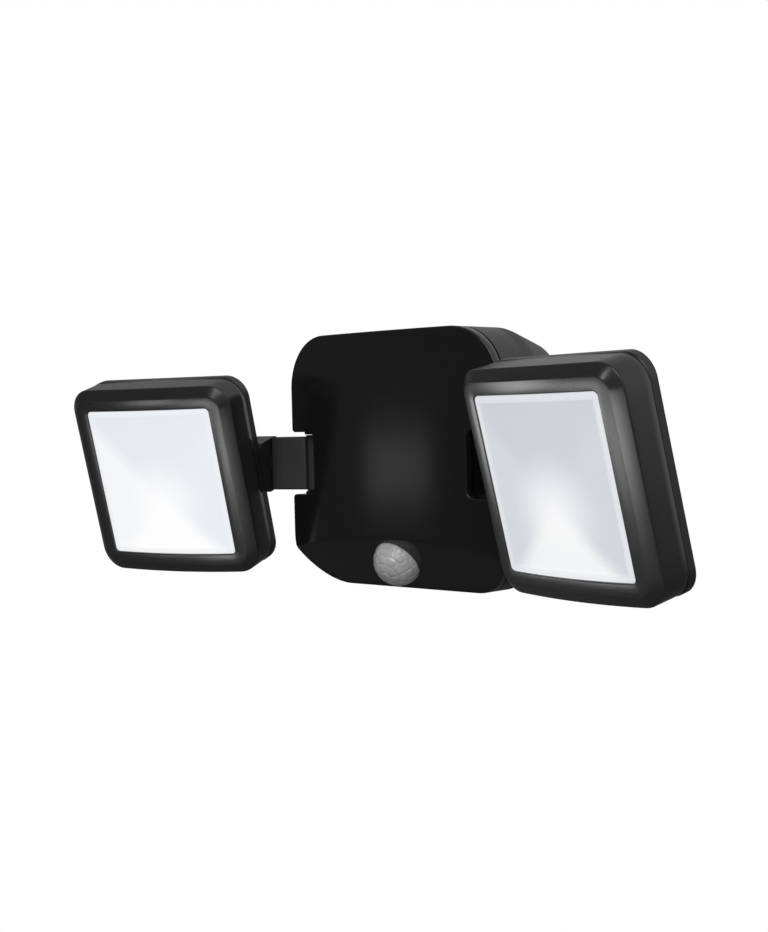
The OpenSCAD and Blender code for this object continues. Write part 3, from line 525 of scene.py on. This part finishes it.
def window_rings(side):
    """Rings from the middle of the back, round the rim, to the middle of the face."""
    edge_u, edge_w = OPEN_U - WINDOW_GAP, OPEN_W - WINDOW_GAP
    face_inset = WINDOW[-1][0]
    inner = ring(edge_u - face_inset, edge_w - face_inset, OPEN_R - 0.2)

    def scaled(share, v):
        return [head_point(side, u * share, w * share, v, 1) for u, w in inner]

    rings = [scaled(share, BACK_V) for share in (0.0, 0.5, 0.999)] + [scaled(0.999, RIM_V)]
    for inset, v in WINDOW:
        shape = ring(edge_u - inset, edge_w - inset, OPEN_R - 0.2)
        rings.append([head_point(side, u, w, v, 1) for u, w in shape])
    return rings + [scaled(share, FACE_V) for share in (0.85, 0.6, 0.35, 0.1, 0.0)]


for side in SIDE:
    rings = window_rings(side)
    piece = loft("opal_window_" + side, rings, windows[side], closed=False)
    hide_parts("diffuser_" + side)
    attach(piece, side + "_head")

# %% [markdown]
# ## Front cover
# The cover is one polished moulding. Its front is a bulged sheet that meets
# a sloping lower face along a soft arch. The outline is a rounded square
# with a notch at each side for the arm. The sheet is filled with triangles
# inside its outline, with extra rows along the arch, and then every point
# is pushed back to its depth. A one millimetre rounding joins the sheet to
# the side walls.

# %% Cover outline and depth, in millimetres
FRONT_Y = -69.0                                    # plane through the cover's side edges
BODY_U, BODY_R = 75.0, 29.0                        # half width, corner radius
BODY_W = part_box("front_cover")[1][2] * 1000        # half height
COVER_BULGE, COVER_SIDE, COVER_WALL = 5.9, 4.0, 1.9
SLOPE_ANGLE = math.radians(37.2)
SLOPE, SLOPE_TOP = math.tan(SLOPE_ANGLE), -48.5
NOTCH_X, NOTCH_Z, NOTCH_HALF, NOTCH_R, MOUTH_R = 55.6, -1.25, 17.45, 4.0, 2.0
ROUND, CHAMFER, SOFT = 1.0, 0.2, 0.35              # front edge, back edge, arch


def arc(cx, cz, r, start, end, steps):
    """Points of an arc, degrees counterclockwise from +x."""
    angles = [math.radians(start + (end - start) * n / steps) for n in range(steps + 1)]
    return [(cx + r * math.cos(a), cz + r * math.sin(a)) for a in angles]


def right_half():
    """Outline of the right half, from bottom middle to top middle."""
    low, high = NOTCH_Z - NOTCH_HALF, NOTCH_Z + NOTCH_HALF
    return (arc(BODY_U - BODY_R, -BODY_W + BODY_R, BODY_R, -90, 0, 24)
            + arc(BODY_U - MOUTH_R, low - MOUTH_R, MOUTH_R, 0, 90, 6)
            + arc(NOTCH_X + NOTCH_R, low + NOTCH_R, NOTCH_R, 270, 180, 8)
            + arc(NOTCH_X + NOTCH_R, high - NOTCH_R, NOTCH_R, 180, 90, 8)
            + arc(BODY_U - MOUTH_R, high + MOUTH_R, MOUTH_R, -90, 0, 6)
            + arc(BODY_U - BODY_R, BODY_W - BODY_R, BODY_R, 0, 90, 24))


def spaced(points, step=2.2):
    """The closed outline with long straights cut into equal steps."""
    out = []
    for one, two in zip(points, points[1:] + points[:1]):
        length = math.dist(one, two)
        if length < 1e-6:
            continue
        parts = max(1, round(length / step))
        out += [(one[0] + (two[0] - one[0]) * n / parts, one[1] + (two[1] - one[1]) * n / parts)
                for n in range(parts)]
    return out


half = right_half()
outline = spaced(half + [(-x, z) for x, z in reversed(half)])


def inward(points, distance):
    """The outline moved inward along its own normals."""
    out = []
    for n, (x, z) in enumerate(points):
        before, after = points[n - 1], points[(n + 1) % len(points)]
        along = (Vector(after) - Vector((x, z))).normalized() + (
            Vector((x, z)) - Vector(before)).normalized()
        along.normalize()
        out.append((x - along.y * distance, z + along.x * distance))
    return out


def depth(x, z):
    """Depth of the front at a point: the bulge or the slope, blended softly."""
    bulged = -COVER_BULGE * (1 - (x / BODY_U) ** 2)
    sloped = SLOPE * (SLOPE_TOP - z)
    return max(bulged, sloped) + max(SOFT - abs(bulged - sloped), 0) ** 2 / (4 * SOFT)


def arch(x):
    """Height where the slope meets the bulge."""
    return SLOPE_TOP + COVER_BULGE * (1 - (x / BODY_U) ** 2) / SLOPE


def edge_depth(z):
    """Depth of the cover's edge at its sides."""
    return max(0.0, SLOPE * (SLOPE_TOP - z))


print("outline of", len(outline), "points")

# %% [markdown]
# The hole for the sensor dome is round on the slope, so seen from the front
# it is an ellipse. The fill takes the outline, the hole and loose points
# inside them, and gives back the triangles that lie between.

# %% Fill a sheet
DOME = Vector((0, 4.25, -54.1))                    # where the dome's axis meets the slope
DOME_OUT = Vector((0, -math.cos(SLOPE_ANGLE), -math.sin(SLOPE_ANGLE)))
DOME_UP = Vector((0, -math.sin(SLOPE_ANGLE), math.cos(SLOPE_ANGLE)))
HOLE_R, HOLE_EDGE = 13.65, 0.35
FRONT_STEP, BACK_STEP = 3.0, 6.0                   # sizes of the triangles
ARCH_CLEAR = 2.4                                   # no grid points nearer to the arch
ARCH_ROWS = (-1.4, -0.6, -0.22, 0, 0.22, 0.6, 1.4)


def from_axis(x, z):
    """Distance from the dome's axis, measured on the slope."""
    return math.dist((x, (z - DOME.z) / math.cos(SLOPE_ANGLE)), (0, 0))


def hole_ring(r, sink, steps=72):
    """Circle round the dome's axis on the slope, sunk below it."""
    return [DOME + Vector((1, 0, 0)) * r * math.cos(2 * math.pi * n / steps)
            + DOME_UP * r * math.sin(2 * math.pi * n / steps) - DOME_OUT * sink
            for n in range(steps)]


def sheet_points(border, hole, step, clear):
    """Grid points and arch rows that lie well inside the sheet."""
    xs = [(-BODY_U + step * n) for n in range(int(2 * BODY_U / step) + 1)]
    zs = [(-BODY_W + step * n) for n in range(int(2 * BODY_W / step) + 1)]
    seeds = [(x, z) for x in xs for z in zs if abs(z - arch(x)) > ARCH_CLEAR]
    seeds += [(x, arch(x) + up) for x in xs for up in ARCH_ROWS]
    kept = []
    for x, z in seeds:
        near = min(math.dist((x, z), p) for p in border)
        off = min(math.dist((x, z), (p.x, p.z)) for p in hole)
        crossings = sum((a[1] > z) != (b[1] > z)
                        and x < a[0] + (z - a[1]) / (b[1] - a[1]) * (b[0] - a[0])
                        for a, b in zip(border, border[1:] + border[:1]))
        outside_hole = from_axis(x, z) >= hole[0].x + 0.2
        if crossings % 2 and near > clear and off > clear and outside_hole:
            kept.append((x, z))
    return kept


def fill(border, hole, step):
    """Points and triangles between an outline and the hole."""
    loose = sheet_points(border, hole, step, 0.45 * min(step, 2.2))
    flat = [Vector(p) for p in border] + [Vector((p.x, p.z)) for p in hole]
    flat += [Vector(p) for p in loose]
    n, m = len(border), len(hole)
    edges = [(k, (k + 1) % n) for k in range(n)] + [(n + k, n + (k + 1) % m) for k in range(m)]
    points, _, faces, _, _, _ = geometry.delaunay_2d_cdt(flat, edges, [], 1, 1e-5)
    kept = []
    for face in faces:
        mid = sum((points[k] for k in face), Vector((0, 0))) / len(face)
        if from_axis(mid.x, mid.y) > hole[0].x * 0.999:
            kept.append(face)
    print("filled", len(kept), "triangles, points added or lost:", len(points) - len(flat))
    return points, kept


print("hole of", HOLE_R * 2, "mm, triangles of about", FRONT_STEP, "mm")


# %% [markdown]
# The cover's rings run from the front sheet over the rounded edge, down the
# side, round the back edge and up the inner wall to the inner sheet. A
# second set of rings does the same through the hole.

# %% Build the cover
def build_cover():
    """The whole cover as one closed mesh."""
    work = bmesh.new()

    def place(x, y, z):
        return work.verts.new(Vector((x, FRONT_Y + y, z)) * MM)

    def bridge(one, two):
        for n in range(len(one)):
            m = (n + 1) % len(one)
            work.faces.new((one[n], one[m], two[m], two[n]))

    # front sheet and inner sheet
    inset = inward(outline, ROUND)
    points, faces = fill(inset, hole_ring(HOLE_R + HOLE_EDGE, 0), FRONT_STEP)
    front = [place(p.x, depth(p.x, p.y), p.y) for p in points]
    for face in faces:
        work.faces.new([front[k] for k in face])
    wall = inward(outline, COVER_WALL)
    points, faces = fill(wall, hole_ring(HOLE_R, 0), BACK_STEP)
    behind = COVER_WALL * 1.15     # a share more, for the wall is thinner across the slope
    back = [place(p.x, depth(p.x, p.y) + behind, p.y) for p in points]
    for face in faces:
        work.faces.new([back[k] for k in reversed(face)])

    # rounded edge, side, back edge and inner wall
    count, steps = len(outline), 6
    rows = [front[:count]]
    for k in range(1, steps + 1):
        turn = math.radians(90 * k / steps)
        back_by = ROUND * (1 - math.cos(turn))
        rows.append([place(x, depth(*inset[i]) + back_by, z)
                     for i, (x, z) in enumerate(inward(outline, ROUND * (1 - math.sin(turn))))])
    for share in (0.5, 1.0):
        rows.append([place(x, (1 - share) * (depth(*inset[i]) + ROUND)
                           + share * (edge_depth(z) + COVER_SIDE - CHAMFER), z)
                     for i, (x, z) in enumerate(outline)])
    for ringed in (inward(outline, CHAMFER), wall):
        rows.append([place(x, edge_depth(z) + COVER_SIDE, z) for x, z in ringed])
    rows.append(back[:count])
    for one, two in zip(rows, rows[1:]):
        bridge(one, two)

    # rounded rim of the hole, then its wall back to the inner sheet
    around, steps = len(hole_ring(HOLE_R, 0)), 3
    rim = [front[count:count + around]]
    for k in range(1, steps + 1):
        turn = math.radians(90 * k / steps)
        rim.append([place(*p) for p in hole_ring(HOLE_R + HOLE_EDGE * (1 - math.sin(turn)),
                                                 HOLE_EDGE * (1 - math.cos(turn)))])
    rim.append(back[count:count + around])
    for one, two in zip(rim, rim[1:]):
        bridge(two, one)
    return finish_mesh("gloss_front_cover", work, gloss_abs, sharp_deg=60)


cover = build_cover()
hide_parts("front_cover")
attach(cover, "housing")

# %% [markdown]
# ## Sensor dome
# The film is pressed into many small lenses, each no more than a faint
# facet from outside. The dome is drawn as circles of latitude, and the
# borders of the facets are shallow grooves a third of a millimetre deep.

# %% Dome skin
DOME_R, DOME_SINK, FILM = 13.5, 1.2, 1.0           # radius, centre's depth, thickness
ROW_EDGES = (14, 34, 54, 72)                       # degrees from the axis
ROW_CELLS = (1, 6, 10, 14, 18)
GROOVE_DEEP, GROOVE_WIDE = 0.32, 0.55
FLANGE = ((-0.05, 2.5), (0.7, 2.5), (0.7, 3.7), (-FILM, 3.7))   # beyond the radius, depth


def dome_radius(tilt, turn):
    """Radius at an angle from the dome's axis and a turn round it, in mm."""
    tilt_deg = math.degrees(tilt)
    band = sum(tilt_deg > edge for edge in ROW_EDGES)
    across = min(abs(tilt_deg - edge) for edge in ROW_EDGES) * math.radians(1) * DOME_R
    cells = ROW_CELLS[band]
    share = (turn / (2 * math.pi) * cells) % 1
    beside = min(share, 1 - share) * 2 * math.pi / cells * math.sin(tilt) * DOME_R
    gap = min(across, beside) if band else across
    return DOME_R - GROOVE_DEEP * math.exp(-(gap / GROOVE_WIDE) ** 2)


def build_dome():
    """Outer film, flange and inner film as one closed mesh."""
    work = bmesh.new()
    circles, around = 56, 180
    rim = math.acos(DOME_SINK / DOME_R)
    centre = DOME - DOME_OUT * DOME_SINK
    turns_round = [2 * math.pi * k / around for k in range(around)]

    def place(p):
        return work.verts.new(Vector((p.x, p.y + FRONT_Y, p.z)) * MM)

    def spot(r, tilt, turn):
        side_way = Vector((1, 0, 0)) * math.cos(turn) + DOME_UP * math.sin(turn)
        return place(centre + DOME_OUT * r * math.cos(tilt) + side_way * r * math.sin(tilt))

    top = spot(DOME_R, 0, 0)
    under = spot(DOME_R - FILM, 0, 0)
    outer, inner = [], []
    for n in range(1, circles + 1):
        tilt = rim * n / circles
        outer.append([spot(dome_radius(tilt, a) if n < circles else DOME_R, tilt, a)
                      for a in turns_round])
        inner.append([spot(DOME_R - FILM, tilt, a) for a in turns_round])
    flange = [[place(p) for p in hole_ring(DOME_R + beyond, sink, around)]
              for beyond, sink in FLANGE]
    rows = outer + flange + list(reversed(inner))
    for k in range(around):
        j = (k + 1) % around
        work.faces.new((top, outer[0][k], outer[0][j]))
        work.faces.new((under, inner[0][j], inner[0][k]))
        for one, two in zip(rows, rows[1:]):
            work.faces.new((one[k], one[j], two[j], two[k]))
    return finish_mesh("sensor_dome", work, film)


dome = build_dome()
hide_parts("pir_lens")
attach(dome, "housing")

# %% [markdown]
# ## Battery springs
# Each spring is wire wound into a cone on a small plate. A Geometry Nodes
# spiral follows the wire's path and sweeps a round section along it, so the
# number of turns and the wire are sizes that can be changed in one place.

# %% Spring tree, in metres
SPRING = (("Turns", "NodeSocketFloat", 3.2), ("Base", "NodeSocketFloat", 0.007),
          ("Tip", "NodeSocketFloat", 0.0045), ("Length", "NodeSocketFloat", 0.0018),
          ("Wire", "NodeSocketFloat", 0.00042), ("Place", "NodeSocketVector", (0, 0, 0)),
          ("Turn", "NodeSocketVector", (0, 0, 0)))


def spring_tree():
    """Geometry Nodes tree of a wound spring, and its inputs' identifiers."""
    tree = bpy.data.node_groups.new("wound_spring", "GeometryNodeTree")
    tree.interface.new_socket("Geometry", in_out="OUTPUT", socket_type="NodeSocketGeometry")
    ids = {}
    for name, kind, value in SPRING:
        entry = tree.interface.new_socket(name, in_out="INPUT", socket_type=kind)
        entry.default_value = value
        ids[name] = entry.identifier
    given = add(tree, "NodeGroupInput")
    path = add(tree, "GeometryNodeCurveSpiral",
               {"Resolution": 24, "Rotations": given.outputs["Turns"],
                "Start Radius": given.outputs["Base"], "End Radius": given.outputs["Tip"],
                "Height": given.outputs["Length"]})
    section = add(tree, "GeometryNodeCurvePrimitiveCircle",
                  {"Resolution": 10, "Radius": given.outputs["Wire"]})
    swept = add(tree, "GeometryNodeCurveToMesh",
                {"Curve": path.outputs["Curve"], "Profile Curve": section.outputs["Curve"],
                 "Fill Caps": True})
    stood = add(tree, "GeometryNodeTransform",
                {"Geometry": swept.outputs["Mesh"], "Translation": given.outputs["Place"],
                 "Rotation": given.outputs["Turn"]})
    whole = add(tree, "GeometryNodeRealizeInstances", {"Geometry": stood.outputs["Geometry"]})
    coat = add(tree, "GeometryNodeSetMaterial", {"Geometry": whole.outputs["Geometry"]})
    coat.inputs["Material"].default_value = nickel
    add(tree, "NodeGroupOutput", {"Geometry": coat.outputs["Geometry"]})
    return tree, ids


spring_nodes, socket = spring_tree()
print("spring tree with", len(socket), "inputs")


# %% Wind the springs
def wound(tree, settings):
    """Plain mesh from the tree with these inputs."""
    host = bpy.data.objects.new("spring_host", bpy.data.meshes.new("spring_host"))
    bpy.context.scene.collection.objects.link(host)
    made = host.modifiers.new("spring", "NODES")
    made.node_group = tree
    for key, value in settings.items():
        made[key] = value
    bpy.context.view_layer.update()
    ready = host.evaluated_get(bpy.context.evaluated_depsgraph_get())
    mesh = bpy.data.meshes.new_from_object(ready)
    bpy.data.objects.remove(host)
    return mesh


PLATE, PLATE_Y, PLATE_Z = 0.0004, 0.0056, 0.008    # thickness, half sizes
COIL_Z = 0.0174                                    # the coils' height above or below
BLOCK_FACES = ((0, 1, 3, 2), (4, 6, 7, 5), (0, 4, 5, 1), (2, 3, 7, 6), (0, 2, 6, 4), (1, 5, 7, 3))
low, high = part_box("battery_springs")
middle_y = (low[1] + high[1]) / 2
work = bmesh.new()
for side in (-1, 1):
    plate_x = (high if side > 0 else low)[0] - side * 2 * PLATE
    coil_z = -side * COIL_Z
    work.from_mesh(wound(spring_nodes, {socket["Place"]: (plate_x, middle_y, coil_z),
                                        socket["Turn"]: (0, -side * math.pi / 2, 0)}))
    corners = [work.verts.new((x, middle_y + dy, coil_z + dz))
               for x in (plate_x, plate_x + side * PLATE)
               for dy in (-PLATE_Y, PLATE_Y) for dz in (-PLATE_Z, PLATE_Z)]
    for face in BLOCK_FACES:
        work.faces.new([corners[k] for k in face])
springs = finish_mesh("wound_battery_springs", work, nickel)
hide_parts("battery_springs")
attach(springs, "housing")

# %% [markdown]
# ## Stage and light
# A pale floor lies far below the wall light. Black plastic shows whatever
# it mirrors, so the room is kept dim for reflections and white for the
# lens, and it grows brighter toward the back right, which lifts the sides
# of the heads. Small low cards in front draw the soft patches on the
# bezels, a dim panel on the left makes the glow on the cover, and a large
# one high on the right fills the windows and the dome.

# %% Stage
FLOOR_HALF, FLOOR_Z = 20, -0.6
floor_mesh = bpy.data.meshes.new("pale_floor")
floor_mesh.from_pydata([(x * FLOOR_HALF, y * FLOOR_HALF, FLOOR_Z)
                        for x, y in ((-1, -1), (1, -1), (1, 1), (-1, 1))], [], [(0, 1, 2, 3)])
floor = bpy.data.objects.new("pale_floor", floor_mesh)
bpy.context.scene.collection.objects.link(floor)
floor_paint, floor_tree, matt, _ = new_material("pale_matt_floor", Roughness=0.9)
matt.inputs["Base Color"].default_value = hex_colour("#767676")
floor_mesh.materials.append(floor_paint)

world = bpy.data.worlds.new("studio_room")
bpy.context.scene.world = world
world.use_nodes = True
room_tree = world.node_tree
room = room_tree.nodes["Background"]
room.inputs["Color"].default_value = (1, 1, 1, 1)
ray_way = add(room_tree, "ShaderNodeTexCoord")
BACK_RIGHT = (0.75, 0.66, 0.0)
toward = add(room_tree, "ShaderNodeVectorMath", {0: ray_way.outputs["Generated"],
                                                 1: BACK_RIGHT}, operation="DOT_PRODUCT")
fade = add(room_tree, "ShaderNodeMapRange", {"Value": toward.outputs["Value"],
                                             "From Min": -0.9, "From Max": 1.0,
                                             "To Min": 0.1, "To Max": 0.72})
room_tree.links.new(fade.outputs["Result"], room.inputs["Strength"])

# the lens sees plain white, light and mirrors see the floor and the room
WHITE = {"Color": (1, 1, 1, 1), "Strength": 1.0}
for tree, kind, lit, end in ((floor_tree, "ShaderNodeEmission", matt, "Material Output"),
                             (room_tree, "ShaderNodeBackground", room, "World Output")):
    seen = add(tree, kind, WHITE)
    ray = add(tree, "ShaderNodeLightPath")
    both = add(tree, "ShaderNodeMixShader", {0: ray.outputs["Is Camera Ray"],
                                             1: lit.outputs[0], 2: seen.outputs[0]})
    tree.links.new(both.outputs[0], tree.nodes[end].inputs["Surface"])
print("floor at", FLOOR_Z, "m and room made")

# %% [markdown]
# Each card is a small area light at the place where the eye, mirrored in
# one plane of a bezel, would look. It is tied to that bezel, so it draws its
# patch and leaves the glossy cover and the windows alone.

# %% Lights
def softbox(name, place, target, width, height, watts, only=None):
    """Area light aimed at a point; only names the one piece that it lights."""
    lamp = bpy.data.lights.new(name, "AREA")
    lamp.shape = "RECTANGLE"
    lamp.size, lamp.size_y, lamp.energy = width, height, watts
    lamp_object = bpy.data.objects.new(name, lamp)
    bpy.context.scene.collection.objects.link(lamp_object)
    lamp_object.location = place
    aim = Vector(target) - Vector(place)
    lamp_object.rotation_euler = aim.to_track_quat("-Z", "Y").to_euler()
    lamp_object.visible_camera = False
    if only:
        lit = bpy.data.collections.new("lit_by_" + name)
        lit.objects.link(bpy.data.objects[only])
        lamp_object.light_linking.receiver_collection = lit


left, right = "moulded_bezel_left", "moulded_bezel_right"
LEFT_AT, RIGHT_AT = (-0.1, -0.09, 0.02), (0.18, -0.11, 0.02)
softbox("left_strip", (0.08, -0.52, -0.265), LEFT_AT, 0.55, 0.07, 0.5, left)
softbox("left_side_card", (-0.185, -0.52, -0.22), LEFT_AT, 0.1, 0.06, 0.13, left)
softbox("left_top_card", (-0.3, -0.52, -0.17), LEFT_AT, 0.08, 0.05, 0.09, left)
softbox("right_strip", (0.0, -0.45, -0.148), RIGHT_AT, 0.5, 0.07, 0.45, right)
softbox("right_bevel_card", (0.227, -0.52, -0.16), RIGHT_AT, 0.12, 0.07, 0.22, right)
softbox("right_far_card", (-0.29, -0.3, -0.105), RIGHT_AT, 0.1, 0.1, 0.22, right)
softbox("right_corner_card", (0.06, -0.58, 0.19), RIGHT_AT, 0.06, 0.06, 0.14, right)
softbox("cover_glow_panel", (-0.765, -0.99, -0.043), (0.0108, -0.075, -0.0033), 0.3, 0.08, 0.055)
softbox("high_right_fill", (0.9, -1.6, 1.2), (0, -0.07, 0), 1.2, 1.2, 13)
